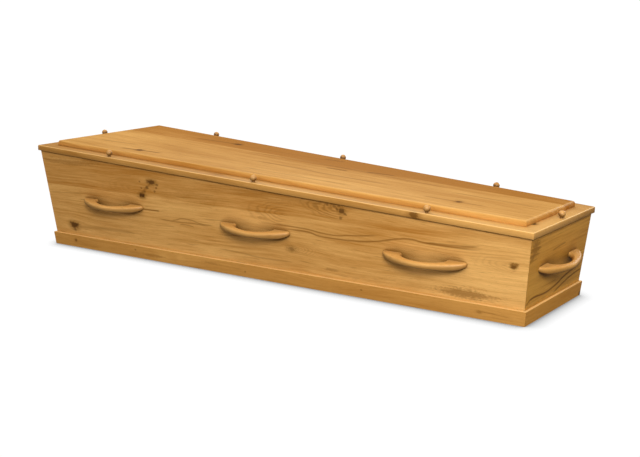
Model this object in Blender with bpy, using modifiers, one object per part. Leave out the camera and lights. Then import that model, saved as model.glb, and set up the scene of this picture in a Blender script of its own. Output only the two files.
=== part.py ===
"""A flat-lidded oak coffin, closed, with turned lid knobs and bow handles. Blender 4.5, metres, +Z up.

The box is wider and taller at the head end (-X) than at the foot end (+X). Its four walls lean outward,
are mitred at the corners and stand on a bottom board, with a plinth strip round their foot. The lid rests
on their sloping top edges and slopes with them. Left and right are those of someone lying in it.
"""

import math
from collections import namedtuple

import bmesh
import bpy
from mathutils import Matrix, Vector

# The lid. Its plan and its slope also set the walls below it.
LID_LENGTH = 2.030
LID_HEAD_WIDTH = 0.672
LID_FOOT_WIDTH = 0.470
LID_THICKNESS = 0.020
LID_OVERHANG = 0.008
LID_ARRIS_RADIUS = 0.004

# The raised panel on the lid, and the strip of lid left showing round it.
PANEL_THICKNESS = 0.019
PANEL_BORDER_WIDTH = 0.053
PANEL_FOOT_BORDER_WIDTH = 0.049
PANEL_ARRIS_RADIUS = 0.009

# The box. Heights run from the floor to the underside of the lid, at each end of the lid.
HEAD_HEIGHT = 0.372
FOOT_HEIGHT = 0.276
WALL_THICKNESS = 0.016
BOTTOM_THICKNESS = 0.018
SIDE_LEAN = math.radians(5.3)
END_LEAN = math.radians(5.7)

# The plinth strips round the foot of the walls.
PLINTH_HEIGHT = 0.048
PLINTH_THICKNESS = 0.0085
PLINTH_ARRIS_RADIUS = 0.002

# From each end of the lid to the first knob and the first handle of a long side.
KNOB_END_DISTANCE = 0.357
HANDLE_END_DISTANCE = 0.364

# The turned knobs that hold the lid down.
KNOB_DIAMETER = 0.0225
KNOB_NECK_DIAMETER = 0.011
KNOB_NECK_HEIGHT = 0.0035
KNOB_STEPS = 16
KNOB_BALL_STEPS = 8

# The bow handles: a flat bow with well rounded edges and a smaller half ellipse cut out for the fingers.
# The depth is how far it stands out, the grip is the bar at the middle, and a foot is where it meets
# the wall. A fullness of 2 would make its outline half an ellipse, and less makes its ends more pointed.
# The feet are a little above half the wall's height, and the bow droops from them.
HANDLE_LENGTH = 0.294
HANDLE_DEPTH = 0.058
HANDLE_GRIP_WIDTH = 0.0235
HANDLE_FOOT_LENGTH = 0.069
HANDLE_THICKNESS = 0.025
HANDLE_ARRIS_RADIUS = 0.0092
HANDLE_FULLNESS = 1.65
HANDLE_DROOP = math.radians(10.2)
SIDE_HANDLE_RAISE_HEIGHT = 0.0146
END_HANDLE_RAISE_HEIGHT = 0.022
HANDLE_OUTER_STEPS = 16
HANDLE_INNER_STEPS = 12
HANDLE_ARRIS_STEPS = 2
HANDLE_SHARP_ANGLE = math.radians(50)

# The fine gap left between two pieces that touch, and how near two places count as one.
GAP = 0.0003
SAME_PLACE = 0.00003

# A rounded edge is a quarter circle, and takes at most this share of the wood that it has.
MOST_ROUNDING = 0.84
ARRIS_STEPS = 3
ARRIS_PROFILE = 0.5

RIGHT, LEFT = -1, 1
HEAD, FOOT = -1, 1
SIDE_NAMES = {RIGHT: "right", LEFT: "left"}
END_NAMES = {HEAD: "head", FOOT: "foot"}

MIDDLE_HEIGHT = (HEAD_HEIGHT + FOOT_HEIGHT) / 2
LID_SLOPE = math.asin((HEAD_HEIGHT - FOOT_HEIGHT) / LID_LENGTH)
LID_TAPER = (LID_FOOT_WIDTH - LID_HEAD_WIDTH) / (2 * LID_LENGTH)
LID_MIDDLE_HALF_WIDTH = (LID_HEAD_WIDTH + LID_FOOT_WIDTH) / 4
KNOB_BAY = LID_LENGTH / 2 - KNOB_END_DISTANCE
HANDLE_BAY = LID_LENGTH / 2 - HANDLE_END_DISTANCE

OAK = {
    "lid": (0.57, 0.30, 0.090),
    "walls": (0.52, 0.26, 0.070),
    "plinth": (0.47, 0.23, 0.060),
    "knobs": (0.60, 0.34, 0.120),
    "handles": (0.56, 0.29, 0.085),
}
OAK_ROUGHNESS = 0.42


class Plane(namedtuple("Plane", "normal offset")):
    """A flat face: the points whose distance along the unit normal is the offset."""

    def moved(self, distance):
        return Plane(self.normal, self.offset + distance)

    def turned(self):
        return Plane(-self.normal, -self.offset)

    def seen_from(self, frame):
        """The same face in the coordinates of a frame that stands at this matrix."""
        normal = frame.to_3x3().inverted() @ self.normal
        return Plane(normal, self.offset - self.normal.dot(frame.translation))


def plane(normal, offset):
    """A plane from a normal of any length, with the offset measured in that length."""
    normal = Vector(normal)
    return Plane(normal.normalized(), offset / normal.length)


def level(height):
    return plane((0, 0, 1), height)


def lid_frame():
    """Where the lid stands: at the middle of its underside, dipping towards the foot."""
    return Matrix.Translation((0, 0, MIDDLE_HEIGHT)) @ Matrix.Rotation(LID_SLOPE, 4, "Y")


def lid_underside():
    frame = lid_frame()
    normal = frame.to_3x3() @ Vector((0, 0, 1))
    return Plane(normal, normal.dot(frame.translation))


def side_face(side):
    """The outer face of a long wall: straight up to the overhang's line on the lid, leaning outward."""
    lean = math.tan(SIDE_LEAN)
    taper = (LID_TAPER + lean * math.sin(LID_SLOPE)) / math.cos(LID_SLOPE)
    half_width = LID_MIDDLE_HALF_WIDTH - LID_OVERHANG - lean * MIDDLE_HEIGHT
    return plane((-taper, side, -lean), half_width)


def end_face(end):
    """The outer face of the head or foot wall."""
    lean = math.tan(END_LEAN)
    half_length = LID_LENGTH / 2 - LID_OVERHANG
    top = MIDDLE_HEIGHT - end * half_length * math.sin(LID_SLOPE)
    return plane((end, 0, -lean), half_length * math.cos(LID_SLOPE) - lean * top)


def mitre(kept, other):
    """The cut through the corner of two walls, facing away from the kept one, with half the gap."""
    normal = other.normal - kept.normal
    return plane(normal, other.offset - kept.offset).moved(-GAP / 2)


def x_on(face, height):
    """Where an end wall's outer face stands at this height, on the middle line."""
    return (face.offset - face.normal.z * height) / face.normal.x


def y_on(face, x, height):
    """Where a long wall's outer face stands at this place and height."""
    return (face.offset - face.normal.x * x - face.normal.z * height) / face.normal.y


def half_wall_height(x):
    """Half the height from the floor to the lid's underside."""
    return (MIDDLE_HEIGHT - x * math.tan(LID_SLOPE)) / 2


def rounding(radius, wood):
    """The radius of a rounded edge, kept within the thickness of wood that it is cut in."""
    return min(radius, MOST_ROUNDING * wood)


def oak(name, tone):
    material = bpy.data.materials.new(name)
    material.use_nodes = True
    shader = material.node_tree.nodes["Principled BSDF"]
    shader.inputs["Base Color"].default_value = (*OAK[tone], 1)
    shader.inputs["Roughness"].default_value = OAK_ROUGHNESS
    shader.inputs["Metallic"].default_value = 0
    material.diffuse_color = (*OAK[tone], 1)
    return material


def place(name, mesh, parent, tone, matrix):
    """Puts a piece into the coffin's collection, standing on its parent at this matrix."""
    piece = bpy.data.objects.new(name, mesh)
    bpy.data.collections["wooden_coffin"].objects.link(piece)
    piece.data.materials.append(oak(name, tone))
    piece.parent = parent
    piece.matrix_basis = matrix
    return piece


def saw(block, face):
    """Takes off what lies beyond the plane, and closes the cut."""
    everything = block.verts[:] + block.edges[:] + block.faces[:]
    cut = bmesh.ops.bisect_plane(
        block,
        geom=everything,
        plane_co=face.normal * face.offset,
        plane_no=face.normal,
        clear_outer=True,
    )
    rim = [part for part in cut["geom_cut"] if isinstance(part, bmesh.types.BMEdge)]
    bmesh.ops.holes_fill(block, edges=rim)


def round_edges(block, faces, radius):
    """Rounds the edges of the block that lie on all of these flat faces."""

    def on_all(vert):
        return all(abs(face.normal.dot(vert.co) - face.offset) < SAME_PLACE for face in faces)

    edges = [edge for edge in block.edges if on_all(edge.verts[0]) and on_all(edge.verts[1])]
    bmesh.ops.bevel(
        block,
        geom=edges,
        offset=radius,
        segments=ARRIS_STEPS,
        profile=ARRIS_PROFILE,
        affect="EDGES",
    )


def board(name, faces, parent, tone, rounded=None, radius=0):
    """A board sawn out of a large block by its faces. The edges on all the rounded faces are rounded."""
    block = bmesh.new()
    bmesh.ops.create_cube(block, size=2 * LID_LENGTH)
    for face in faces:
        saw(block, face)
    if rounded:
        round_edges(block, rounded, radius)
    lowest = Vector([min(vert.co[axis] for vert in block.verts) for axis in range(3)])
    highest = Vector([max(vert.co[axis] for vert in block.verts) for axis in range(3)])
    middle = (lowest + highest) / 2
    bmesh.ops.translate(block, verts=block.verts, vec=-middle)
    bmesh.ops.recalc_face_normals(block, faces=block.faces)
    mesh = bpy.data.meshes.new(name)
    block.to_mesh(mesh)
    block.free()
    return place(name, mesh, parent, tone, Matrix.Translation(middle))


def add_box(coffin):
    """The bottom board and the four walls that stand on it."""
    sides = {side: side_face(side) for side in SIDE_NAMES}
    ends = {end: end_face(end) for end in END_NAMES}
    outline = [*sides.values(), *ends.values()]
    floor = level(0).turned()
    board("bottom_board", [*outline, level(BOTTOM_THICKNESS), floor], coffin, "walls")

    top = lid_underside().moved(-GAP)
    foot = level(BOTTOM_THICKNESS + GAP).turned()
    for side, face in sides.items():
        mitres = [mitre(face, other) for other in ends.values()]
        inner = face.moved(-WALL_THICKNESS).turned()
        name = f"side_board_{SIDE_NAMES[side]}"
        board(name, [face, inner, top, foot, *mitres], coffin, "walls")
    for end, face in ends.items():
        mitres = [mitre(face, other) for other in sides.values()]
        inner = face.moved(-WALL_THICKNESS).turned()
        name = f"{END_NAMES[end]}_board"
        board(name, [face, inner, top, foot, *mitres], coffin, "walls")


def add_plinth(coffin):
    """Four mitred strips that lean with the walls, from the floor up, with a softened upper edge."""
    sides = {SIDE_NAMES[side]: side_face(side) for side in SIDE_NAMES}
    ends = {END_NAMES[end]: end_face(end) for end in END_NAMES}
    floor = level(0).turned()
    top = level(PLINTH_HEIGHT)
    radius = rounding(PLINTH_ARRIS_RADIUS, PLINTH_THICKNESS)
    for strips, others in ((sides, ends), (ends, sides)):
        for strip_name, wall in strips.items():
            back = wall.moved(GAP).turned()
            front = wall.moved(GAP + PLINTH_THICKNESS)
            mitres = [mitre(wall, other) for other in others.values()]
            faces = [front, back, floor, top, *mitres]
            board(f"plinth_{strip_name}", faces, coffin, "plinth", [front, top], radius)


def lid_outline(inset, foot_inset):
    """The four edges of the lid's tapered plan, moved in by the insets, square to the lid."""
    sides = [plane((-LID_TAPER, side, 0), LID_MIDDLE_HALF_WIDTH).moved(-inset) for side in SIDE_NAMES]
    head = plane((HEAD, 0, 0), LID_LENGTH / 2 - inset)
    foot = plane((FOOT, 0, 0), LID_LENGTH / 2 - foot_inset)
    return [*sides, head, foot]


def add_lid(lid):
    """The lid board and the raised panel fixed on it."""
    top = level(LID_THICKNESS)
    underside = level(0).turned()
    radius = rounding(LID_ARRIS_RADIUS, LID_THICKNESS)
    board("lid_board", [*lid_outline(0, 0), top, underside], lid, "lid", [top], radius)

    panel_top = top.moved(GAP + PANEL_THICKNESS)
    panel_base = top.moved(GAP).turned()
    outline = lid_outline(PANEL_BORDER_WIDTH, PANEL_FOOT_BORDER_WIDTH)
    faces = [*outline, panel_top, panel_base]
    radius = rounding(PANEL_ARRIS_RADIUS, PANEL_THICKNESS)
    board("lid_panel", faces, lid, "lid", [panel_top], radius)


def knob_mesh():
    """A turned ball on a short neck: the profile of one half, for the Screw to turn round."""
    radius = KNOB_DIAMETER / 2
    neck = KNOB_NECK_DIAMETER / 2
    last = math.pi - math.asin(neck / radius)
    centre = KNOB_NECK_HEIGHT - radius * math.cos(last)
    ball = [last * step / KNOB_BALL_STEPS for step in range(KNOB_BALL_STEPS + 1)]
    profile = [(radius * math.sin(angle), centre + radius * math.cos(angle)) for angle in ball]
    profile += [(neck, 0), (0, 0)]
    mesh = bpy.data.meshes.new("knob")
    points = [(x, 0, z) for x, z in profile]
    edges = [(index, index + 1) for index in range(len(points) - 1)]
    mesh.from_pydata(points, edges, [])
    return mesh


def add_knob(name, lid, x, y):
    knob = place(name, knob_mesh(), lid, "knobs", Matrix.Translation((x, y, LID_THICKNESS + GAP)))
    turning = knob.modifiers.new("turned", "SCREW")
    turning.steps = KNOB_STEPS
    turning.render_steps = KNOB_STEPS
    turning.use_merge_vertices = True
    turning.merge_threshold = SAME_PLACE
    turning.use_smooth_shade = True


def add_knobs(lid):
    """Each knob goes down through the lid into the middle of the wall's top edge."""
    inset = LID_OVERHANG + WALL_THICKNESS / 2
    for side, side_name in SIDE_NAMES.items():
        for number, bay in enumerate((-1, 0, 1), start=1):
            x = bay * KNOB_BAY
            half_width = LID_MIDDLE_HALF_WIDTH + LID_TAPER * x
            add_knob(f"lid_knob_{side_name}_{number}", lid, x, side * (half_width - inset))
    for end, end_name in END_NAMES.items():
        add_knob(f"lid_knob_{end_name}", lid, end * (LID_LENGTH / 2 - inset), 0)


def half_oval(half_length, depth, steps, fullness=2):
    """Points from one end to the other of an oval's outer half. A fullness of 2 is an ellipse."""
    points = []
    for step in range(steps + 1):
        angle = math.pi * step / steps
        along = math.copysign(abs(math.cos(angle)) ** (2 / fullness), math.cos(angle))
        out = max(math.sin(angle), 0) ** (2 / fullness)
        points.append((-half_length * along, depth * out))
    return points


def handle_blank():
    """The bow before its feet are trimmed to the wall: a flat outline with well rounded edges."""
    outer = half_oval(HANDLE_LENGTH / 2, HANDLE_DEPTH, HANDLE_OUTER_STEPS, HANDLE_FULLNESS)
    gap_length = HANDLE_LENGTH - 2 * HANDLE_FOOT_LENGTH
    inner = half_oval(gap_length / 2, HANDLE_DEPTH - HANDLE_GRIP_WIDTH, HANDLE_INNER_STEPS)
    radius = rounding(HANDLE_ARRIS_RADIUS, min(HANDLE_THICKNESS, HANDLE_GRIP_WIDTH) / 2)
    root = -HANDLE_THICKNESS
    outline = [(outer[0][0], root), *outer, (outer[-1][0], root)]
    outline += [(inner[-1][0], root), *reversed(inner), (inner[0][0], root)]

    curve = bpy.data.curves.new("handle_outline", "CURVE")
    curve.dimensions = "2D"
    curve.fill_mode = "BOTH"
    curve.extrude = HANDLE_THICKNESS / 2 - radius
    curve.bevel_depth = radius
    curve.bevel_resolution = HANDLE_ARRIS_STEPS
    curve.offset = -radius
    line = curve.splines.new("POLY")
    line.points.add(len(outline) - 1)
    for point, (x, y) in zip(line.points, outline):
        point.co = (x, y, 0, 1)
    line.use_cyclic_u = True

    guide = bpy.data.objects.new("handle_outline", curve)
    bpy.context.scene.collection.objects.link(guide)
    bpy.context.view_layer.update()
    mesh = bpy.data.meshes.new_from_object(guide.evaluated_get(bpy.context.evaluated_depsgraph_get()))
    bpy.data.objects.remove(guide)
    bpy.data.curves.remove(curve)
    return mesh


def add_handle(name, coffin, blank, wall, foot_of_bow):
    """A bow that droops outward from the wall at this point, its feet trimmed to the leaning wall."""
    outward = Vector((wall.normal.x, wall.normal.y, 0)).normalized()
    turn = Matrix.Rotation(math.atan2(-outward.x, outward.y), 4, "Z")
    droop = Matrix.Rotation(-HANDLE_DROOP, 4, "X")
    frame = Matrix.Translation(foot_of_bow) @ turn @ droop
    bow = bmesh.new()
    bow.from_mesh(blank)
    bmesh.ops.remove_doubles(bow, verts=bow.verts, dist=SAME_PLACE)
    saw(bow, wall.moved(GAP).turned().seen_from(frame))
    bmesh.ops.recalc_face_normals(bow, faces=bow.faces)
    mesh = bpy.data.meshes.new(name)
    bow.to_mesh(mesh)
    bow.free()
    mesh.shade_smooth()
    mesh.set_sharp_from_angle(angle=HANDLE_SHARP_ANGLE)
    place(name, mesh, coffin, "handles", frame)


def end_handle_height(end):
    x = end * LID_LENGTH / 2 * math.cos(LID_SLOPE)
    return half_wall_height(x) + END_HANDLE_RAISE_HEIGHT


def add_handles(coffin):
    """Three on each long wall, below the knobs, and one on each end wall, about half way up."""
    blank = handle_blank()
    for side, side_name in SIDE_NAMES.items():
        wall = side_face(side)
        for number, bay in enumerate((-1, 0, 1), start=1):
            x = bay * HANDLE_BAY
            height = half_wall_height(x) + SIDE_HANDLE_RAISE_HEIGHT
            point = Vector((x, y_on(wall, x, height), height))
            add_handle(f"handle_{side_name}_{number}", coffin, blank, wall, point)
    for end, end_name in END_NAMES.items():
        wall = end_face(end)
        height = end_handle_height(end)
        point = Vector((x_on(wall, height), 0, height))
        add_handle(f"handle_{end_name}", coffin, blank, wall, point)
    bpy.data.meshes.remove(blank)


def middle_of_length():
    """Half way between the head and foot handles, which stand out furthest and by the same amount."""
    feet = [x_on(end_face(end), end_handle_height(end)) for end in END_NAMES]
    return sum(feet) / 2


def clear_scene():
    for thing in list(bpy.data.objects):
        bpy.data.objects.remove(thing, do_unlink=True)


def main():
    clear_scene()
    collection = bpy.data.collections.new("wooden_coffin")
    bpy.context.scene.collection.children.link(collection)

    coffin = bpy.data.objects.new("coffin", None)
    coffin.location.x = -middle_of_length()
    collection.objects.link(coffin)
    lid = bpy.data.objects.new("lid", None)
    collection.objects.link(lid)
    lid.parent = coffin
    lid.matrix_basis = lid_frame()

    add_box(coffin)
    add_plinth(coffin)
    add_lid(lid)
    add_knobs(lid)
    add_handles(coffin)


main()
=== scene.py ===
"""The looks of a rustic oak coffin: knotty lacquered boards, softened edges, turned knobs and bow handles."""

import math

import bmesh
import bpy
from mathutils import Matrix, Vector


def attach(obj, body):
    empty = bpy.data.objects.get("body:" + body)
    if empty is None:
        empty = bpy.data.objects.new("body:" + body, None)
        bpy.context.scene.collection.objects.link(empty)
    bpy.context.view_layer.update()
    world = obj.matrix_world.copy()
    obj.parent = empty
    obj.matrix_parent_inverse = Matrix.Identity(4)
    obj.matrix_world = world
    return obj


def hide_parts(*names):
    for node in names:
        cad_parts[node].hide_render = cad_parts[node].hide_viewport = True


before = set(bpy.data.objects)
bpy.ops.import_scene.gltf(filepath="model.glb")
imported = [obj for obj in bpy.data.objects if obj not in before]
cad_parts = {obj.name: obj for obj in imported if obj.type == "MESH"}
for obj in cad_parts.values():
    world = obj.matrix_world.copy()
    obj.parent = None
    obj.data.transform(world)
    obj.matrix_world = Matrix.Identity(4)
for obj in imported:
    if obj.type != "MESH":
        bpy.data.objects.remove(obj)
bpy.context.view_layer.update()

# The walls
# Level oak boards glued edge to edge, planed, leaning outward and mitred at the corners. The oak is
# rustic: it has knots, dark mineral streaks and pale and dark boards side by side, under satin lacquer.
START = Vector((0, 0, 0))
UP = Vector((0, 0, 1))
LENGTHWAYS = (START, Vector((1, 0, 0)), UP, Vector((0, 1, 0)))
CROSSWAYS = (START, Vector((0, 1, 0)), UP, Vector((1, 0, 0)))
PALE_OAK = (0.82, 0.455, 0.140)
DEEP_OAK = (0.44, 0.180, 0.027)
LINE_OAK = (0.205, 0.080, 0.008)
KNOT_OAK = (0.090, 0.032, 0.003)
# The next two colours are painted light: a painted highlight for upper edges, and painted shade for corners
# and lower sides.
PAINTED_HIGHLIGHT_OAK = (0.92, 0.57, 0.21)
PAINTED_SHADE_OAK = (0.110, 0.045, 0.003)
LACQUER_ROUGHNESS = 0.47
LACQUER_SHINE = 0.18
KNOT_PUSH = 0.55
# How far the painted corner shade looks for nearby surfaces, and the heights where it grows from its share at
# the plinth to full.
CORNER_REACH = 0.048
PLINTH_CORNER_SHARE = 0.25
PLINTH_CORNER_TOP = 0.050
WALL_CORNER_START = 0.075


class Nodes:
    """Adds shader nodes to one tree. Each call takes numbers or other nodes' results, and gives a result."""

    def __init__(self, tree):
        self.tree = tree

    def add(self, kind, inputs=(), **settings):
        node = self.tree.nodes.new(kind)
        for name, value in settings.items():
            setattr(node, name, value)
        for socket, value in inputs:
            if isinstance(value, bpy.types.NodeSocket):
                self.tree.links.new(value, node.inputs[socket])
            else:
                node.inputs[socket].default_value = value
        return node

    def math(self, operation, *values):
        return self.add("ShaderNodeMath", enumerate(values), operation=operation).outputs[0]

    def total(self, *values):
        """The sum of any number of values."""
        result = values[0]
        for value in values[1:]:
            result = self.math("ADD", result, value)
        return result

    def along(self, position, direction):
        """How far a position, or a normal, goes this way."""
        inputs = [(0, position), (1, direction)]
        return self.add("ShaderNodeVectorMath", inputs, operation="DOT_PRODUCT").outputs["Value"]

    def noise(self, along, across, through, detail, roughness=0.5):
        """Noise, from 0 to 1, at a place that is already scaled."""
        place = self.add("ShaderNodeCombineXYZ", enumerate((along, across, through))).outputs[0]
        inputs = [("Vector", place), ("Scale", 1.0), ("Detail", detail), ("Roughness", roughness)]
        return self.add("ShaderNodeTexNoise", inputs).outputs[0]

    def ramp(self, value, start, end, low=0.0, high=1.0, soft=True):
        """The value's place between start and end, eased, as a number from low to high."""
        kind = "SMOOTHSTEP" if soft else "LINEAR"
        inputs = enumerate((value, start, end, low, high))
        return self.add("ShaderNodeMapRange", inputs, interpolation_type=kind).outputs[0]

    def blend(self, amount, first, second, kind="MIX"):
        """The first colour, and this much of the second one over it. Either may be three numbers."""
        first, second = ((*color, 1) if isinstance(color, tuple) else color for color in (first, second))
        inputs = [(0, amount), (6, first), (7, second)]
        node = self.add("ShaderNodeMix", inputs, data_type="RGBA", blend_type=kind, clamp_factor=True)
        return node.outputs[2]

    def group(self, group, *values):
        return self.add("ShaderNodeGroup", enumerate(values), node_tree=group).outputs


def group_tree(name, inputs, outputs):
    """An empty group of nodes: what adds nodes to it, the numbers given to it and the results it asks for."""
    tree = bpy.data.node_groups.new(name, "ShaderNodeTree")
    for title in inputs:
        tree.interface.new_socket(title, in_out="INPUT", socket_type="NodeSocketFloat")
    for title in outputs:
        tree.interface.new_socket(title, in_out="OUTPUT", socket_type="NodeSocketFloat")
    given = list(tree.nodes.new("NodeGroupInput").outputs)[: len(inputs)]
    results = tree.nodes.new("NodeGroupOutput").inputs
    return Nodes(tree), given, results


def knot_group():
    """A knot: how far off a place is, in knot sizes, and how far the grain there is pushed aside."""
    titles = ("along", "across", "knot along", "knot across", "half length", "half height", "push")
    make, given, results = group_tree("knot", titles, ("distance", "aside"))
    place_along, place_across, knot_along, knot_across, half_length, half_height, push = given
    along = make.math("SUBTRACT", place_along, knot_along)
    across = make.math("SUBTRACT", place_across, knot_across)
    length = make.math("POWER", make.math("ABSOLUTE", make.math("DIVIDE", along, half_length)), 2)
    height = make.math("POWER", make.math("ABSOLUTE", make.math("DIVIDE", across, half_height)), 2)
    squared = make.math("ADD", length, height)
    fading = make.math("MULTIPLY_ADD", squared, 0.35, 1)
    aside = make.math("DIVIDE", make.math("MULTIPLY", across, push), fading)
    make.tree.links.new(make.math("SQRT", squared), results["distance"])
    make.tree.links.new(aside, results["aside"])
    return make.tree


def streak_group():
    """A dark line: how dark a place is, from its distance to the line and its share of the length."""
    make, given, results = group_tree("streak", ("off", "share", "half width"), ("darkness",))
    off, share, half_width = given
    beside = make.ramp(make.math("DIVIDE", make.math("ABSOLUTE", off), half_width), 1, 0)
    ends = make.ramp(make.math("MULTIPLY", share, make.math("SUBTRACT", 1, share)), 0, 0.12)
    make.tree.links.new(make.math("MULTIPLY", beside, ends), results["darkness"])
    return make.tree


KNOT_GROUP = knot_group()
STREAK_GROUP = streak_group()


def add_streak(make, along, across, points, half_width, strength):
    """A dark line through these (along, across) points. Gives its darkness."""
    start, end = points[0][0], points[-1][0]
    heights = [height for _, height in points]
    low, high = min(heights), max(heights)
    span = max(high - low, 0.001)
    share = make.ramp(along, start, end, soft=False)
    curve = make.add("ShaderNodeFloatCurve", [("Value", share)])
    line = curve.mapping.curves[0]
    while len(line.points) < len(points):
        line.points.new(0.5, 0.5)
    for point, (place, height) in zip(line.points, points):
        point.location = ((place - start) / (end - start), (height - low) / span)
    curve.mapping.update()
    height = make.math("MULTIPLY_ADD", curve.outputs[0], span, low)
    off = make.math("SUBTRACT", across, height)
    darkness = make.group(STREAK_GROUP, off, share, half_width)[0]
    return make.math("MULTIPLY", darkness, strength)


def painted_light_color(make, color, position, sanded, corners, below):
    """The colour with painted highlights and shade: how far a face looks up tells its edges and sides apart.
    """
    rise = make.along(make.add("ShaderNodeNewGeometry").outputs["Normal"], UP)
    # Painted shade on the sides that look down.
    if below:
        color = make.blend(make.ramp(rise, 0.75, -0.25, 0, below), color, PAINTED_SHADE_OAK)
    # A painted highlight on rounded upper edges and level tops, and painted shade deepening the steeper
    # faces.
    if sanded:
        rounded, level = sanded
        not_level = make.ramp(rise, 0.996, 0.955, level, rounded)
        painted_highlight = make.math("MULTIPLY", make.ramp(rise, 0.50, 0.86), not_level)
        color = make.blend(painted_highlight, color, PAINTED_HIGHLIGHT_OAK)
        color = make.blend(make.ramp(rise, 0.80, 0.30, 0, 0.26), color, DEEP_OAK)

    # Painted shade darkens the corners that the occlusion node finds closed in, less so below the plinth's
    # top.
    openness = make.add("ShaderNodeAmbientOcclusion", [("Distance", CORNER_REACH)], samples=12)
    painted_corner_shade = make.ramp(openness.outputs["AO"], 0.96, 0.56, 0, corners)
    height = make.along(position, UP)
    height_share = make.ramp(height, PLINTH_CORNER_TOP, WALL_CORNER_START, PLINTH_CORNER_SHARE, 1)
    return make.blend(make.math("MULTIPLY", painted_corner_shade, height_share), color, PAINTED_SHADE_OAK)


def oak(
    name,
    lay,
    seed,
    tone=(1, 1, 1),
    boards=(),
    marks=None,
    figure=1.0,
    shine=LACQUER_SHINE,
    sanded=None,
    # Painted shade in the corners, strong unless a piece asks for less.
    corners=0.80,
    below=0,
):
    """Lacquered oak.

    The lay is where the grain is measured from, and the ways along, across and into the board. The seed picks
    the grain, the tone tints it and the figure is its strength. A board is (its lower edge, how much paler it
    is). The marks are lists by kind. Knots, stains and pale patches are (along, across, half length, half
    height, strength). Eddies have a sixth number: -1 for half rings toward the head or the right, 0 for whole
    ones, 1 for the other half. Dots are (along, across, radius), and streaks are (points, half width,
    darkness). Sanded is how much paler the rounded upper edges are, and how much the level tops, as a painted
    highlight; with it, painted shade deepens the steeper faces. Corners is how much painted shade darkens the
    corners, and below is how much painted shade darkens the sides that look down.
    """
    marks = marks or {}
    material = bpy.data.materials.new(name)
    material.use_nodes = True
    make = Nodes(material.node_tree)
    start, *ways = lay
    position = make.add("ShaderNodeTexCoord").outputs["Object"]
    from_start = make.add("ShaderNodeVectorMath", [(0, position), (1, start)], operation="SUBTRACT")
    along, across, through = (make.along(from_start.outputs[0], way) for way in ways)

    # The grain flows round the knots, wanders a little, and starts anew on each board.
    aside = 0.0
    knots = []
    for *knot, darkness in marks.get("knots", ()):
        distance, push = make.group(KNOT_GROUP, along, across, *knot, KNOT_PUSH)
        aside = make.math("ADD", aside, push)
        knots.append((distance, darkness))
    wander = make.noise(make.math("MULTIPLY", along, 1.1), make.math("MULTIPLY", across, 4.0), seed, 2.0)
    wander = make.math("MULTIPLY", make.math("SUBTRACT", wander, 0.5), 0.075)
    shift = seed
    paler = 0.0
    for edge, board_paler in boards:
        beyond = make.math("GREATER_THAN", across, edge)
        shift = make.math("MULTIPLY_ADD", beyond, 3.7, shift)
        paler = make.math("MULTIPLY_ADD", beyond, board_paler, paler)
    flow = make.math("ADD", make.math("SUBTRACT", across, aside), wander)
    board_along = make.math("ADD", along, shift)

    def grain(lengthways, crossways, detail, roughness=0.5):
        """Noise drawn out along the grain, this fine along and across it."""
        return make.noise(
            make.math("MULTIPLY", board_along, lengthways),
            make.math("MULTIPLY", flow, crossways),
            make.math("MULTIPLY_ADD", through, crossways * 0.5, shift),
            detail,
            roughness,
        )

    def swing(noise, weight):
        """How far the noise is off its middle, as strong as the wood's figure."""
        return make.math("MULTIPLY", make.math("SUBTRACT", noise, 0.5), weight * figure)

    def distance_to(place, height, half_length, half_height):
        """How far off a mark is, in its own sizes."""
        return make.group(KNOT_GROUP, along, across, place, height, half_length, half_height, 0)[0]

    def ragged(distance, amount):
        """The distance with a gritty edge."""
        rough = make.math("MULTIPLY", make.math("SUBTRACT", grit, 0.5), amount)
        return make.math("ADD", distance, rough)

    broad = grain(0.8, 11, 3, 0.6)
    middle = grain(3.6, 70, 3, 0.65)
    fine = grain(11, 330, 2)
    pores = grain(38, 1500, 1)
    blotches = make.noise(
        make.math("MULTIPLY", board_along, 2.2),
        make.math("MULTIPLY", across, 6),
        make.math("MULTIPLY", through, 6),
        2.0,
    )
    curls = make.noise(make.math("MULTIPLY", along, 17), make.math("MULTIPLY", across, 38), seed, 2.0)
    grit = make.noise(
        make.math("MULTIPLY", along, 110),
        make.math("MULTIPLY", across, 170),
        make.math("MULTIPLY", through, 170),
        2.0,
    )

    # The year rings show as thin dark lines in places.
    rings = make.math("MULTIPLY_ADD", flow, 420, make.math("MULTIPLY", broad, 26))
    rings = make.math("MULTIPLY_ADD", make.math("SINE", rings), 0.5, 0.5)
    ring_places = make.ramp(grain(1.4, 15, 2), 0.45, 0.68)
    rings = make.math("MULTIPLY", make.math("POWER", rings, 2.2), ring_places)

    for *spot, strength in marks.get("pale", ()):
        paler = make.math("ADD", paler, make.ramp(distance_to(*spot), 1, 0, 0, strength))
    paleness = make.total(
        0.55,
        paler,
        swing(broad, 1.05),
        swing(middle, 0.85),
        swing(fine, 0.62),
        swing(blotches, 0.55),
        make.math("MULTIPLY", rings, -0.24 * figure),
    )
    color = make.blend(make.ramp(paleness, 0, 1, soft=False), DEEP_OAK, PALE_OAK)

    # Pores are the finest dark dashes, with longer ones among them.
    pore_dark = make.ramp(pores, 0.60, 0.78, 0, 0.45)
    color = make.blend(pore_dark, color, LINE_OAK)
    dashes = make.ramp(grain(7.5, 190, 2, 0.6), 0.62, 0.74, 0, 0.42 * figure)
    color = make.blend(dashes, color, LINE_OAK)

    for *spot, darkness in marks.get("stains", ()):
        distance = make.math("ADD", ragged(distance_to(*spot), 1.1), swing(middle, 2.2))
        color = make.blend(make.ramp(distance, 1.15, 0.35, 0, darkness), color, LINE_OAK)

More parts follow.
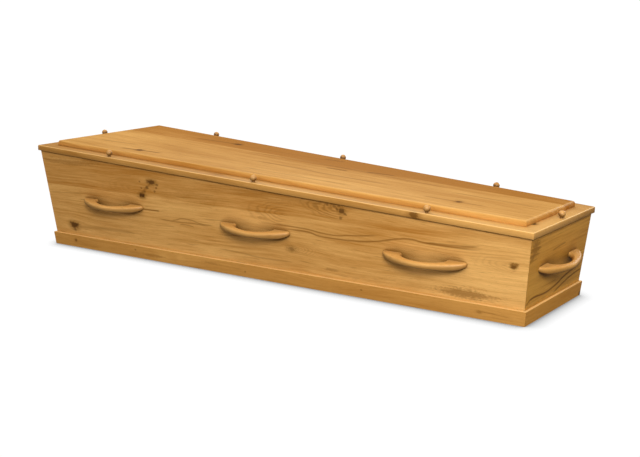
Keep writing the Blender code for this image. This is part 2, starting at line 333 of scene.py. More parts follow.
    for place, height, half_length, half_height, darkness, half in marks.get("eddies", ()):
        distance = distance_to(place, height, half_length, half_height)
        distance = make.math("ADD", distance, swing(curls, 0.42))
        swirl = make.math("ADD", make.math("MULTIPLY", distance, 40), swing(middle, 7))
        swirl = make.math("POWER", make.math("MULTIPLY_ADD", make.math("SINE", swirl), 0.5, 0.5), 1.6)
        swirl = make.math("MULTIPLY", swirl, make.ramp(distance, 1.05, 0.55, 0, darkness))
        if half:
            off = make.math("MULTIPLY", make.math("SUBTRACT", along, place), half)
            swirl = make.math("MULTIPLY", swirl, make.ramp(off, -0.2 * half_length, 0.2 * half_length))
        color = make.blend(swirl, color, LINE_OAK)

    wobble = make.math("ADD", across, swing(middle, 0.003))
    for points, half_width, darkness in marks.get("streaks", ()):
        streak = add_streak(make, along, wobble, points, half_width, darkness)
        color = make.blend(streak, color, LINE_OAK)

    # A knot is nearly black, with a brown ring round it.
    for distance, darkness in knots:
        rough = ragged(distance, 1.3)
        color = make.blend(make.ramp(rough, 2.6, 0.9, 0, 0.60 * darkness), color, LINE_OAK)
        color = make.blend(make.ramp(rough, 1.30, 0.65, 0, darkness), color, KNOT_OAK)
    for place, height, radius in marks.get("dots", ()):
        distance = ragged(distance_to(place, height, radius * 1.15, radius), 1.4)
        color = make.blend(make.ramp(distance, 1.3, 0.4, 0, 0.58), color, KNOT_OAK)
    color = make.blend(1.0, color, tone, "MULTIPLY")
    # Painted light over the wood's own colour: highlights on upper edges, shade in corners and on lower
    # sides.
    color = painted_light_color(make, color, position, sanded, corners, below)

    relief = make.math("MULTIPLY_ADD", pore_dark, -0.6, make.math("MULTIPLY", fine, 0.5))
    bump_inputs = [("Strength", 0.35), ("Distance", 0.0003), ("Height", relief)]
    bump = make.add("ShaderNodeBump", bump_inputs).outputs[0]
    shader = material.node_tree.nodes["Principled BSDF"]
    roughness = make.ramp(blotches, 0.3, 0.7, LACQUER_ROUGHNESS - 0.04, LACQUER_ROUGHNESS + 0.05)
    for socket, value in (("Base Color", color), ("Roughness", roughness), ("Normal", bump)):
        material.node_tree.links.new(value, shader.inputs[socket])
    shader.inputs["Specular IOR Level"].default_value = shine
    return material


def dress(nodes, material):
    """Gives these solids this material in place of their own."""
    for name in nodes:
        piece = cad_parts[name]
        piece.data.materials.clear()
        piece.data.materials.append(material)


upper_hump_line = [
    (0.060, 0.2075), (0.200, 0.2070), (0.304, 0.1986), (0.376, 0.2054), (0.447, 0.2138), (0.500, 0.2225),
]
lower_hump_line = [
    (0.090, 0.1950), (0.212, 0.1970), (0.260, 0.1885), (0.304, 0.1870), (0.399, 0.1898), (0.465, 0.1969),
    (0.515, 0.2078), (0.565, 0.2185), (0.601, 0.2226), (0.636, 0.2190), (0.670, 0.2168), (0.755, 0.2165),
    (0.860, 0.2270),
]
front_marks = {
    "knots": [
        (-0.454, 0.2990, 0.0150, 0.0085, 0.85),
        (-0.506, 0.2445, 0.0120, 0.0085, 1.00),
        (-0.875, 0.0860, 0.0170, 0.0115, 0.90),
        (0.353, 0.2850, 0.0105, 0.0080, 0.78),
        (0.146, 0.1280, 0.0110, 0.0060, 0.30),
        (0.946, 0.1815, 0.0080, 0.0062, 0.50),
    ],
    "dots": [
        (-0.478, 0.2766, 0.0065),
        (-0.429, 0.2914, 0.0060),
        (-0.443, 0.2660, 0.0048),
        (-0.472, 0.3010, 0.0060),
        (-0.512, 0.2960, 0.0040),
        (-0.505, 0.2720, 0.0040),
        (-0.434, 0.2790, 0.0045),
        (-0.892, 0.0925, 0.0070),
        (-0.857, 0.0897, 0.0070),
        (-0.874, 0.0680, 0.0075),
        (-0.490, 0.2600, 0.0055),
        (0.325, 0.2975, 0.0065),
        (0.343, 0.3010, 0.0055),
        (0.336, 0.2890, 0.0060),
        (0.300, 0.2995, 0.0055),
        (0.366, 0.2760, 0.0055),
        (0.349, 0.2610, 0.0060),
    ],
    "eddies": [
        (0.345, 0.2930, 0.170, 0.0500, 0.50, -1),
        (0.130, 0.2480, 0.190, 0.0560, 0.34, -1),
        (0.150, 0.1290, 0.038, 0.0180, 0.42, 0),
        (0.170, 0.1300, 0.085, 0.0320, 0.24, 1),
        (0.945, 0.1845, 0.150, 0.0360, 0.15, -1),
        (-0.530, 0.2700, 0.210, 0.0500, 0.11, -1),
    ],
    "streaks": [
        (upper_hump_line, 0.0046, 0.66),
        (lower_hump_line, 0.0052, 0.74),
        ([(0.640, 0.2165), (0.700, 0.2203), (0.739, 0.2212), (0.840, 0.2300)], 0.0048, 0.60),
        ([(-0.517, 0.1918), (-0.470, 0.1930), (-0.425, 0.1937)], 0.0046, 0.85),
        ([(-0.510, 0.2480), (-0.494, 0.2640), (-0.470, 0.2840), (-0.452, 0.3020)], 0.0110, 0.50),
        ([(-1.000, 0.208), (-0.794, 0.2213), (-0.747, 0.2289)], 0.0034, 0.28),
        ([(-0.385, 0.158), (-0.350, 0.170), (-0.310, 0.178), (-0.225, 0.168), (-0.180, 0.169)], 0.0042, 0.55),
        ([(-0.440, 0.166), (-0.360, 0.162), (-0.271, 0.165), (-0.200, 0.160)], 0.0038, 0.55),
        ([(-0.340, 0.152), (-0.310, 0.156), (-0.270, 0.150)], 0.0036, 0.55),
        ([(-0.180, 0.087), (-0.064, 0.0845), (0.020, 0.079), (0.160, 0.086)], 0.0050, 0.34),
        ([(-0.870, 0.079), (-0.683, 0.0911), (-0.560, 0.093)], 0.0120, 0.30),
    ],
    "stains": [
        (0.780, 0.0720, 0.115, 0.019, 0.62),
        (0.948, 0.1835, 0.0160, 0.0110, 0.85),
        (-0.880, 0.3380, 0.190, 0.014, 0.38),
        (-0.250, 0.2700, 0.160, 0.026, 0.16),
        (0.150, 0.1280, 0.026, 0.014, 0.30),
        (0.080, 0.3060, 0.260, 0.022, 0.22),
        (0.300, 0.0780, 0.030, 0.006, 0.45),
    ],
    "pale": [
        (0.980, 0.150, 0.600, 0.260, 0.34),
        (-0.440, 0.245, 0.060, 0.026, 0.20),
        (-0.850, 0.280, 0.340, 0.050, 0.10),
        (-0.300, 0.120, 0.300, 0.080, -0.16),
        (0.060, 0.275, 0.380, 0.055, -0.26),
        (0.600, 0.240, 0.340, 0.060, -0.36),
    ],
}
# The walls' oak carries painted shade in its corners, under the lid's edge and round the handles.
front_oak = oak("front_wall_oak", LENGTHWAYS, 1.7, boards=[(0.2425, -0.24)], marks=front_marks)
dress(["side_board_right"], front_oak)

foot_rising_line = [
    (-0.230, 0.0500), (-0.201, 0.0640), (-0.162, 0.0770), (-0.068, 0.0730), (-0.017, 0.0770),
    (0.087, 0.0990), (0.215, 0.1130),
]
foot_marks = {
    "streaks": [
        (foot_rising_line, 0.0062, 0.95),
        ([(-0.010, 0.056), (0.037, 0.0669), (0.064, 0.0730), (0.131, 0.0850), (0.225, 0.0924)], 0.0052, 0.90),
        ([(-0.060, 0.2050), (-0.031, 0.2085), (0.000, 0.2120), (0.045, 0.2134)], 0.0042, 0.60),
    ],
    "stains": [(-0.190, 0.236, 0.036, 0.036, 0.62), (-0.207, 0.210, 0.016, 0.018, 0.45)],
}
foot_oak = oak(
    "foot_wall_oak",
    CROSSWAYS,
    5.3,
    tone=(0.97, 0.90, 0.52),
    boards=[(0.155, -0.04)],
    marks=foot_marks,
    figure=0.8,
)
dress(["foot_board"], foot_oak)

back_marks = {
    "knots": [(0.620, 0.110, 0.013, 0.009, 0.8), (-0.250, 0.255, 0.011, 0.009, 0.75)],
    "dots": [(-0.270, 0.262, 0.004), (0.640, 0.104, 0.004)],
    "streaks": [
        ([(-0.800, 0.150), (-0.300, 0.170), (0.200, 0.146)], 0.0030, 0.6),
        ([(-0.100, 0.098), (0.300, 0.086), (0.800, 0.104)], 0.0035, 0.5),
    ],
}
back_boards = [(0.130, -0.20), (0.235, 0.15)]
back_oak = oak("back_wall_oak", LENGTHWAYS, 9.1, boards=back_boards, marks=back_marks)
dress(["side_board_left"], back_oak)

head_marks = {
    "knots": [(0.110, 0.220, 0.010, 0.008, 0.8)],
    "streaks": [([(-0.240, 0.120), (0.000, 0.140), (0.220, 0.128)], 0.0030, 0.6)],
}
head_oak = oak("head_wall_oak", CROSSWAYS, 12.4, boards=[(0.180, -0.18)], marks=head_marks)
dress(["head_board"], head_oak)

# The bottom board
# A flat oak board of three staves, fixed under the walls with screws and glue, inside the plinth. It is
# plain, because nobody sees it in use.
FLAT = (START, Vector((1, 0, 0)), Vector((0, 1, 0)), UP)
bottom_marks = {"knots": [(-0.400, 0.090, 0.012, 0.009, 0.7), (0.500, -0.060, 0.010, 0.008, 0.7)]}
bottom_oak = oak("bottom_oak", FLAT, 15.8, boards=[(-0.090, 0.15), (0.075, -0.25)], marks=bottom_marks)
dress(["bottom_board"], bottom_oak)

# The plinth
# Four thin oak strips glued round the foot of the walls and mitred at the corners. Their upper edge is
# softened; it and the level tops carry a painted highlight, and the corners a little painted shade.
PLINTH_TONE = (0.92, 0.865, 0.72)
END_PLINTH_TONE = (1.08, 0.97, 0.60)
PLINTH_PAINTED_LIGHT = {"sanded": (0.8, 0.9), "corners": 0.25}
front_strip_marks = {
    "knots": [(-0.868, 0.0270, 0.005, 0.0050, 0.75), (0.835, 0.0230, 0.009, 0.0040, 0.35)],
    "dots": [(-0.560, 0.0300, 0.0040), (-0.050, 0.0200, 0.0040), (0.420, 0.0280, 0.0035)],
    "stains": [(-0.470, 0.0180, 0.060, 0.0080, 0.40), (-0.200, 0.0300, 0.050, 0.0060, 0.35)],
    "pale": [(-0.430, 0.0200, 0.060, 0.0200, 0.40), (-0.340, 0.0260, 0.030, 0.0160, 0.40)],
}
front_strip_oak = oak(
    "front_plinth_oak", LENGTHWAYS, 19.2, PLINTH_TONE, marks=front_strip_marks, **PLINTH_PAINTED_LIGHT
)
dress(["plinth_right"], front_strip_oak)
side_strip_oak = oak("side_plinth_oak", LENGTHWAYS, 23.5, PLINTH_TONE, **PLINTH_PAINTED_LIGHT)
dress(["plinth_left"], side_strip_oak)

end_strip_marks = {"knots": [(0.206, 0.0060, 0.007, 0.0060, 0.9)]}
end_strip_oak = oak(
    "end_plinth_oak", CROSSWAYS, 27.9, END_PLINTH_TONE, marks=end_strip_marks, **PLINTH_PAINTED_LIGHT
)
dress(["plinth_head", "plinth_foot"], end_strip_oak)

# The lid and its raised panel
# A tapered oak board that lies on the walls and dips to the foot, with a thinner panel glued on top of it.
# Their upper edges are rounded over with a router, and their corners are sanded a little round.
LID_LENGTH = 2.030
LID_HEAD_WIDTH = 0.672
LID_FOOT_WIDTH = 0.470
LID_THICKNESS = 0.020
LID_ARRIS = 0.004
LID_CORNER_RADIUS = 0.003
BOX_HEAD_HEIGHT = 0.372
BOX_FOOT_HEIGHT = 0.276
PANEL_THICKNESS = 0.019
PANEL_BORDER = 0.053
PANEL_FOOT_BORDER = 0.049
PANEL_ARRIS = 0.009
PANEL_CORNER_RADIUS = 0.004
LOWER_ARRIS = 0.0008
LEAST_CORNER_RADIUS = 0.0004
PIECE_GAP = 0.0003
CORNER_STEPS = 6
ARRIS_STEPS = 6
SHARP_ANGLE = math.radians(50)
COFFIN_SHIFT = -0.00236
GRAIN_SLANT = 0.7
LID_MIDDLE_HALF_WIDTH = (LID_HEAD_WIDTH + LID_FOOT_WIDTH) / 4
LID_TAPER = (LID_FOOT_WIDTH - LID_HEAD_WIDTH) / (2 * LID_LENGTH)
LID_MIDDLE_HEIGHT = (BOX_HEAD_HEIGHT + BOX_FOOT_HEIGHT) / 2
LID_SLOPE = math.asin((BOX_HEAD_HEIGHT - BOX_FOOT_HEIGHT) / LID_LENGTH)

lid_frame = Matrix.Translation((COFFIN_SHIFT, 0, LID_MIDDLE_HEIGHT)) @ Matrix.Rotation(LID_SLOPE, 4, "Y")
lid_turn = lid_frame.to_3x3()


def lid_lay(height):
    """The lay of a board whose top is this high on the lid. Its grain runs on, slanting, over its edges."""
    up = lid_turn @ UP
    across = Vector((0, 1, 0)) + up * GRAIN_SLANT
    return (lid_frame @ (UP * height), lid_turn @ Vector((1, 0, 0)), across, up)


def tapered_outline(inset, foot_inset, corner_radius):
    """Points round the lid's tapered plan moved in by the insets, with rounded corners."""
    square = math.sqrt(1 + LID_TAPER**2)
    corners = []
    for end, side in ((1, -1), (1, 1), (-1, 1), (-1, -1)):
        x = end * LID_LENGTH / 2 - (foot_inset if end > 0 else -inset)
        half_width = LID_MIDDLE_HALF_WIDTH + LID_TAPER * x - inset * square
        corners.append(Vector((x, side * half_width)))
    points = []
    for index, corner in enumerate(corners):
        before = (corners[index - 1] - corner).normalized()
        after = (corners[(index + 1) % 4] - corner).normalized()
        half_angle = before.angle(after) / 2
        centre = corner + (before + after).normalized() * (corner_radius / math.sin(half_angle))
        start = centre - corner - before * (centre - corner).dot(before)
        turn = math.pi - 2 * half_angle
        for step in range(CORNER_STEPS + 1):
            angle = turn * step / CORNER_STEPS
            arm_x = start.x * math.cos(angle) - start.y * math.sin(angle)
            arm_y = start.x * math.sin(angle) + start.y * math.cos(angle)
            points.append(centre - Vector((arm_x, arm_y)))
    return points


def join_loops(block, loops):
    """Skins these loops of points one after the other, and closes both ends."""
    count = len(loops[0])
    for first, second in zip(loops, loops[1:]):
        for index in range(count):
            after = (index + 1) % count
            block.faces.new((first[index], first[after], second[after], second[index]))
    block.faces.new(list(reversed(loops[0])))
    block.faces.new(loops[-1])


def closed_mesh(name, block):
    """The finished mesh, smooth but for its sharp edges."""
    bmesh.ops.recalc_face_normals(block, faces=block.faces)
    mesh = bpy.data.meshes.new(name)
    block.to_mesh(mesh)
    block.free()
    mesh.shade_smooth()
    mesh.set_sharp_from_angle(angle=SHARP_ANGLE)
    return mesh


def finish_piece(piece_name, mesh, material, replaced):
    """Makes a piece of this mesh, where the coffin stands, in place of the solid that it stands for."""
    mesh.materials.append(material)
    piece = bpy.data.objects.new(piece_name, mesh)
    bpy.context.scene.collection.objects.link(piece)
    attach(piece, "root")
    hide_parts(replaced)


def slab(name, inset, foot_inset, base, thickness, arris, corner_radius):
    """A tapered board with a rounded upper edge, from this height on the lid, as loops from below to above.

    A loop just inside each arris keeps the flat faces flat in the light.
    """
    profile = [(0.003, 0), (LOWER_ARRIS, 0), (0, LOWER_ARRIS), (0, thickness - arris)]
    for step in range(1, ARRIS_STEPS + 1):
        angle = math.pi / 2 * step / ARRIS_STEPS
        profile.append((arris * (1 - math.cos(angle)), thickness - arris * (1 - math.sin(angle))))
    profile.append((arris + 0.004, thickness))
    block = bmesh.new()
    loops = []
    for moved_in, height in profile:
        radius = max(corner_radius - moved_in, LEAST_CORNER_RADIUS)
        outline = tapered_outline(inset + moved_in, foot_inset + moved_in, radius)
        loops.append([block.verts.new(lid_frame @ Vector((x, y, base + height))) for x, y in outline])
    join_loops(block, loops)
    return closed_mesh(name, block)


panel_marks = {
    "knots": [
        (-0.602, -0.201, 0.0110, 0.0100, 1.00),
        (0.697, -0.105, 0.0090, 0.0100, 0.70),
        (-0.430, 0.168, 0.0140, 0.0100, 0.80),
    ],
    "streaks": [
        ([(-0.690, -0.218), (-0.602, -0.201), (-0.500, -0.186)], 0.0130, 0.70),
        ([(-0.870, -0.152), (-0.774, -0.138), (-0.680, -0.124)], 0.0110, 0.45),
        ([(-0.640, 0.150), (-0.500, 0.163), (-0.400, 0.170)], 0.0120, 0.60),
        ([(-0.480, 0.157), (-0.200, 0.157), (0.054, 0.157)], 0.0060, 0.30),
        ([(-0.020, 0.168), (0.020, 0.172), (0.075, 0.174)], 0.0090, 0.70),
        ([(0.080, 0.039), (0.126, 0.043), (0.175, 0.045)], 0.0110, 0.70),
        ([(0.225, 0.080), (0.275, 0.087), (0.340, 0.096)], 0.0110, 0.75),
        ([(-0.200, -0.050), (0.001, -0.043), (0.183, -0.052), (0.420, -0.036)], 0.0120, 0.42),
        ([(-0.330, 0.030), (-0.106, 0.085), (0.300, 0.070), (0.600, 0.050)], 0.0100, 0.34),
        ([(0.600, 0.000), (0.700, 0.004), (0.930, 0.000)], 0.0090, 0.34),
        ([(0.560, -0.112), (0.697, -0.106), (0.800, -0.100)], 0.0100, 0.40),
        ([(-0.150, -0.170), (0.050, -0.160), (0.350, -0.150)], 0.0120, 0.26),
    ],
    "pale": [(0.150, 0.175, 1.200, 0.230, -0.50), (-0.780, -0.080, 0.400, 0.160, 0.22)],
}
# The panel's rounded edge carries a painted highlight, its steeper faces painted shade, and its corners a
# little painted shade.
panel_oak = oak(
    "panel_oak",
    lid_lay(LID_THICKNESS + PANEL_THICKNESS),
    31.3,
    tone=(0.985, 0.97, 0.90),
    boards=[(0.098, -0.42)],
    marks=panel_marks,
    figure=0.95,
    shine=0.05,
    sanded=(0.20, 0),
    corners=0.0375,
)
panel_mesh = slab(
    "lid_panel_top",
    PANEL_BORDER,
    PANEL_FOOT_BORDER,
    LID_THICKNESS + PIECE_GAP,
    PANEL_THICKNESS,
    PANEL_ARRIS,
    PANEL_CORNER_RADIUS,
)
finish_piece("lid_panel_top", panel_mesh, panel_oak, "lid_panel")

lid_marks = {
    "knots": [(0.967, -0.131, 0.0080, 0.0080, 0.85), (0.622, -0.2615, 0.0150, 0.0085, 0.85)],
    "stains": [(-0.163, -0.262, 0.045, 0.0060, 0.60)],
    "pale": [(1.000, -0.150, 0.600, 0.400, 0.60)],
}
# The lid's rounded edge carries a painted highlight, and its steeper faces and corners some painted shade.
lid_oak = oak(
    "lid_oak",
    lid_lay(LID_THICKNESS),
    37.6,
    tone=(0.87, 0.85, 0.79),
    marks=lid_marks,
    figure=0.8,
    shine=0.12,
    sanded=(0.85, 0),
    corners=0.07,
)
lid_mesh = slab("lid_board_top", 0, 0, 0, LID_THICKNESS, LID_ARRIS, LID_CORNER_RADIUS)
finish_piece("lid_board_top", lid_mesh, lid_oak, "lid_board")

# The knobs
# Small balls turned in oak on a short neck, with a screw below that goes down into the wall's top edge.
# They lift off with the lid.
KNOB_RADIUS = 0.01125
KNOB_NECK_RADIUS = 0.0055
KNOB_NECK_HEIGHT = 0.0035
KNOB_COVE = ((0.97, 0.0028), (1.00, 0.0010), (1.05, 0))
KNOB_BAY = 0.658
KNOB_INSET = 0.016
KNOB_SIDES = 40
KNOB_BALL_STEPS = 20
UPRIGHT = (START, UP, Vector((1, 0, 0)), Vector((0, 1, 0)))
# Painted shade darkens each knob's lower side and its corners.
knob_oak = oak("knob_oak", UPRIGHT, 41.2, tone=(0.98, 0.95, 0.88), figure=0.6, shine=0.5, below=0.45)


def knob_mesh(name, x, y):
    """A turned ball that runs in a small cove into its neck, standing at this place on the lid.

    The cove is (share of the neck's radius, height) from below the ball to the lid.
    """
    last = math.pi - math.asin(KNOB_NECK_RADIUS / KNOB_RADIUS)
    centre = KNOB_NECK_HEIGHT - KNOB_RADIUS * math.cos(last)
    profile = []
    for step in range(1, KNOB_BALL_STEPS + 1):
        angle = last * step / KNOB_BALL_STEPS
        profile.append((KNOB_RADIUS * math.sin(angle), centre + KNOB_RADIUS * math.cos(angle)))
    profile += [(KNOB_NECK_RADIUS * share, height) for share, height in KNOB_COVE]
    block = bmesh.new()

    def place(radius, height, side):
        angle = math.tau * side / KNOB_SIDES
        local = Vector((x + radius * math.cos(angle), y + radius * math.sin(angle), height))
        return block.verts.new(lid_frame @ (local + UP * (LID_THICKNESS + PIECE_GAP)))

    top = place(0, centre + KNOB_RADIUS, 0)
    loops = [[place(radius, height, side) for side in range(KNOB_SIDES)] for radius, height in profile]
    for side in range(KNOB_SIDES):
        after = (side + 1) % KNOB_SIDES
        block.faces.new((top, loops[0][side], loops[0][after]))
        for upper, lower in zip(loops, loops[1:]):
            block.faces.new((upper[side], lower[side], lower[after], upper[after]))
    block.faces.new(loops[-1])
    return closed_mesh(name, block)


def add_knob(node, x, y):
    """A turned knob in place of this solid, here on the lid."""
    name = f"turned_{node}"
    finish_piece(name, knob_mesh(name, x, y), knob_oak, node)


for side, side_name in ((-1, "right"), (1, "left")):
    for number, bay in enumerate((-1, 0, 1), start=1):
        knob_x = bay * KNOB_BAY
        knob_y = side * (LID_MIDDLE_HALF_WIDTH + LID_TAPER * knob_x - KNOB_INSET)
        add_knob(f"lid_knob_{side_name}_{number}", knob_x, knob_y)
for end, end_name in ((-1, "head"), (1, "foot")):
    add_knob(f"lid_knob_{end_name}", end * (LID_LENGTH / 2 - KNOB_INSET), 0)

# The handles
# Oak bows sawn from thick board and rounded over, drooping outward from two long feet that are glued and
# dowelled to the wall. There are three on each long side and one on each end.
HANDLE_HALF_LENGTH = 0.147
HANDLE_DEPTH = 0.0577
HANDLE_FULLNESS = 1.65
GAP_HALF_LENGTH = 0.078
GAP_DEPTH = 0.0345
HANDLE_THICKNESS = 0.025
HANDLE_ARRIS = 0.0105
HANDLE_SANDED = 0.0035
TIP_SANDED = 0.0085
TIP_SANDED_LENGTH = 0.026
TIP_SANDED_POWER = 1.5
HANDLE_DROOP = math.radians(10.2)
HANDLE_BAY = 0.651
SIDE_HANDLE_RAISE = 0.0146
END_HANDLE_RAISE = 0.022
BOW_STEPS = 56
SECTION_STEPS = 7
LID_OVERHANG = 0.008
SIDE_LEAN = math.tan(math.radians(5.3))
END_LEAN = math.tan(math.radians(5.7))


def bow_section(half_width, sanded):
    """A rounded rectangle round the bar, as (across, up) points. This much of its underside is sanded away.

    Where the bar is thin the arris is smaller, so that a little flat is left between two of them.
    """
    half_thickness = (HANDLE_THICKNESS - sanded) / 2
    arris = min(HANDLE_ARRIS, half_width * 0.92, half_thickness * 0.96)
    points = []
    for corner in range(4):
        across = 1 if corner in (0, 3) else -1
        up = 1 if corner in (0, 1) else -1
        for step in range(SECTION_STEPS + 1):
            angle = math.pi / 2 * (corner + step / SECTION_STEPS)
            point_across = across * (half_width - arris) + arris * math.cos(angle)
            point_up = sanded / 2 + up * (half_thickness - arris) + arris * math.sin(angle)
            points.append((point_across, point_up))
    return points


def bow(name, wall_normal, wall_offset, foot):
    """A bow from its outer and inner outlines, standing at this point of the wall, trimmed to the wall."""
    outward = Vector((wall_normal.x, wall_normal.y, 0)).normalized()
    turn = Matrix.Rotation(math.atan2(-outward.x, outward.y), 4, "Z")
    place = Matrix.Translation(foot) @ turn @ Matrix.Rotation(-HANDLE_DROOP, 4, "X")
    power = 2 / HANDLE_FULLNESS
    block = bmesh.new()
    loops = []
    for step in range(-1, BOW_STEPS + 2):
        angle = math.pi * min(max(step / BOW_STEPS, 0), 1)
        cosine, sine = math.cos(angle), max(math.sin(angle), 0)
        outer_x = -HANDLE_HALF_LENGTH * math.copysign(abs(cosine) ** power, cosine)
        outer = Vector((outer_x, HANDLE_DEPTH * sine**power, 0))
        inner = Vector((-GAP_HALF_LENGTH * cosine, GAP_DEPTH * sine, 0))
        if step in (-1, BOW_STEPS + 1):
            outer.y = inner.y = -HANDLE_THICKNESS
        middle = (outer + inner) / 2
        across = (outer - inner).normalized()
        near_tip = max(1 - (HANDLE_HALF_LENGTH - abs(outer.x)) / TIP_SANDED_LENGTH, 0)
        sanded = HANDLE_SANDED + (TIP_SANDED - HANDLE_SANDED) * near_tip**TIP_SANDED_POWER
        section = bow_section((outer - inner).length / 2, sanded)
        loops.append([block.verts.new(place @ (middle + across * off + UP * up)) for off, up in section])
    join_loops(block, loops)
    everything = block.verts[:] + block.edges[:] + block.faces[:]
    trim = wall_normal * (wall_offset + PIECE_GAP)
    cut = bmesh.ops.bisect_plane(
        block, geom=everything, plane_co=trim, plane_no=wall_normal, clear_inner=True
    )
    rims = [part for part in cut["geom_cut"] if isinstance(part, bmesh.types.BMEdge)]
    bmesh.ops.holes_fill(block, edges=rims)
    return closed_mesh(name, block)


def wall_middle(x):
    """Half the height of the wall this far toward the foot."""
    return (LID_MIDDLE_HEIGHT - x * math.tan(LID_SLOPE)) / 2


def add_bow(node, normal, offset, foot, material):
    """A rounded bow in place of this solid, standing at this foot point on its wall.

    The offset is along the wall's normal, which may have any length, from the coffin's own middle.
    """
    size = normal.length
    unit = normal / size
    moved = Vector((COFFIN_SHIFT, 0, 0))
    name = f"rounded_{node}"
    mesh = bow(name, unit, offset / size + unit.dot(moved), foot + moved)
    finish_piece(name, mesh, material, node)


# Painted shade darkens the handles' lower sides and, a little, their corners.
HANDLE_WOOD = {"tone": (1.06, 1.05, 1.00), "figure": 0.7, "corners": 0.30}
side_handle_oak = oak("side_handle_oak", LENGTHWAYS, 45.9, shine=0.38, below=0.48, **HANDLE_WOOD)
end_handle_oak = oak("end_handle_oak", CROSSWAYS, 49.4, shine=0.16, below=0.42, **HANDLE_WOOD)
wall_taper = (LID_TAPER + SIDE_LEAN * math.sin(LID_SLOPE)) / math.cos(LID_SLOPE)
wall_half_width = LID_MIDDLE_HALF_WIDTH - LID_OVERHANG - SIDE_LEAN * LID_MIDDLE_HEIGHT
for side, side_name in ((-1, "right"), (1, "left")):
    side_normal = Vector((-wall_taper, side, -SIDE_LEAN))
    for number, bay in enumerate((-1, 0, 1), start=1):
        foot_x = bay * HANDLE_BAY
        foot_z = wall_middle(foot_x) + SIDE_HANDLE_RAISE
        foot_y = side * (wall_half_width + wall_taper * foot_x + SIDE_LEAN * foot_z)
        foot_point = Vector((foot_x, foot_y, foot_z))
        add_bow(f"handle_{side_name}_{number}", side_normal, wall_half_width, foot_point, side_handle_oak)
for end, end_name in ((-1, "head"), (1, "foot")):
    end_normal = Vector((end, 0, -END_LEAN))
    end_top = LID_MIDDLE_HEIGHT - end * (LID_LENGTH / 2 - LID_OVERHANG) * math.sin(LID_SLOPE)
    end_offset = (LID_LENGTH / 2 - LID_OVERHANG) * math.cos(LID_SLOPE) - END_LEAN * end_top
    foot_z = wall_middle(end * LID_LENGTH / 2 * math.cos(LID_SLOPE)) + END_HANDLE_RAISE
    foot_point = Vector((end * (end_offset + END_LEAN * foot_z), 0, foot_z))
    add_bow(f"handle_{end_name}", end_normal, end_offset, foot_point, end_handle_oak)

# The floor and the light
# A pale studio floor that runs into a white background, under large soft lights. To the camera the floor
# glows, with a painted shadow just round the plinth, where less light would reach it.
FLOOR_REACH = 60
FLOOR_SHADE_REACH = 0.070
SKY_WAY = Vector((0, -0.45, 0.90))
BACKDROP_STRENGTH = 1.2


def show_to_camera(make, seen, unseen, output):
    """Gives the camera the first shader and all other rays the second one."""
    camera_ray = make.add("ShaderNodeLightPath").outputs["Is Camera Ray"]
    mix = make.add("ShaderNodeMixShader", [(0, camera_ray), (1, unseen.outputs[0]), (2, seen.outputs[0])])
    make.tree.links.new(mix.outputs[0], output.inputs["Surface"])


floor_mesh = bpy.data.meshes.new("floor")
floor_corners = [(x * FLOOR_REACH, y * FLOOR_REACH, 0) for x, y in ((-1, -1), (1, -1), (1, 1), (-1, 1))]
floor_mesh.from_pydata(floor_corners, [], [(0, 1, 2, 3)])
floor = bpy.data.objects.new("floor", floor_mesh)
bpy.context.scene.collection.objects.link(floor)
floor_paint = bpy.data.materials.new("floor_paint")
floor_paint.use_nodes = True
floor_mesh.materials.append(floor_paint)
paint = Nodes(floor_paint.node_tree)
openness = paint.add("ShaderNodeAmbientOcclusion", [("Distance", FLOOR_SHADE_REACH)], samples=16)
bright = paint.ramp(openness.outputs["AO"], 0.49, 0.96, soft=False)
bright = paint.math("MULTIPLY_ADD", paint.math("POWER", bright, 0.62), 0.72, 0.31)
glow = paint.add("ShaderNodeEmission", [("Strength", bright)])
matt = paint.add("ShaderNodeBsdfDiffuse", [("Color", (0.14, 0.14, 0.14, 1))])
show_to_camera(paint, glow, matt, floor_paint.node_tree.nodes["Material Output"])

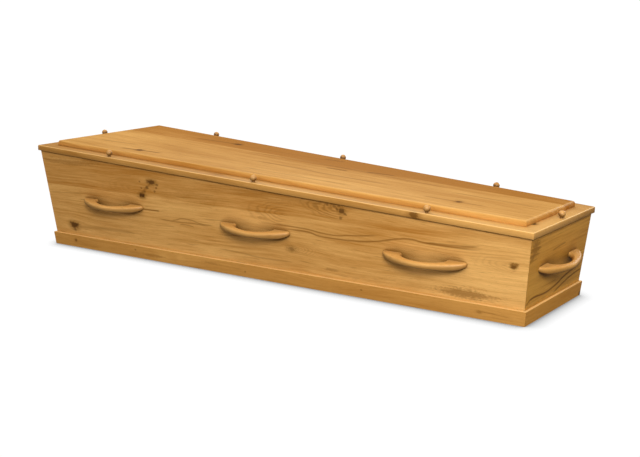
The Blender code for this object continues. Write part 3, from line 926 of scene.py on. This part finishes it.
# The white room: brighter above and in front, and plain white to the camera.
world = bpy.data.worlds.new("studio")
bpy.context.scene.world = world
world.use_nodes = True
sky = Nodes(world.node_tree)
background = world.node_tree.nodes["Background"]
sky_way = sky.add("ShaderNodeTexCoord").outputs["Generated"]
sky_bright = sky.ramp(sky.along(sky_way, SKY_WAY), 0.05, 0.95, 0.04, 0.66)
sky.tree.links.new(sky_bright, background.inputs["Strength"])
background.inputs["Color"].default_value = (1, 1, 1, 1)
backdrop = sky.add("ShaderNodeBackground", [("Color", (1, 1, 1, 1)), ("Strength", BACKDROP_STRENGTH)])
show_to_camera(sky, backdrop, background, world.node_tree.nodes["World Output"])


def add_light(name, place, target, width, height, power):
    """A softbox at this place, turned to the target."""
    light = bpy.data.lights.new(name, "AREA")
    light.shape = "RECTANGLE"
    light.size, light.size_y = width, height
    light.energy = power
    softbox = bpy.data.objects.new(name, light)
    softbox.location = place
    softbox.rotation_euler = (Vector(target) - Vector(place)).to_track_quat("-Z", "Y").to_euler()
    bpy.context.scene.collection.objects.link(softbox)


add_light("key_light", (2.55, -2.95, 2.10), (0.4, 0, 0.2), 1.4, 1.1, 127)
add_light("front_light", (-0.7, -4.8, 1.0), (-0.2, 0, 0.2), 5.0, 2.0, 27)
add_light("top_light", (-1.2, 1.5, 2.3), (-0.3, -0.1, 0.3), 2.2, 1.2, 37)
add_light("end_light", (3.4, 0.2, 1.6), (1, 0, 0.2), 1.2, 1.2, 8)
add_light("back_light", (1.2, 3.8, 1.3), (0, 0, 0.2), 2.0, 1.5, 42)

# The camera
# Where the photograph was taken from: in front of the foot end and a little above the lid.
camera = bpy.data.cameras.new("camera")
camera.lens = 60.655
camera.sensor_width = 36
camera_stand = bpy.data.objects.new("camera", camera)
camera_stand.location = (2.2717, -3.0671, 1.0024)
camera_stand.rotation_euler = (math.pi / 2 - 0.2241, 0, 0.6195)
bpy.context.scene.collection.objects.link(camera_stand)
bpy.context.scene.camera = camera_stand
bpy.context.scene.view_settings.view_transform = "Standard"
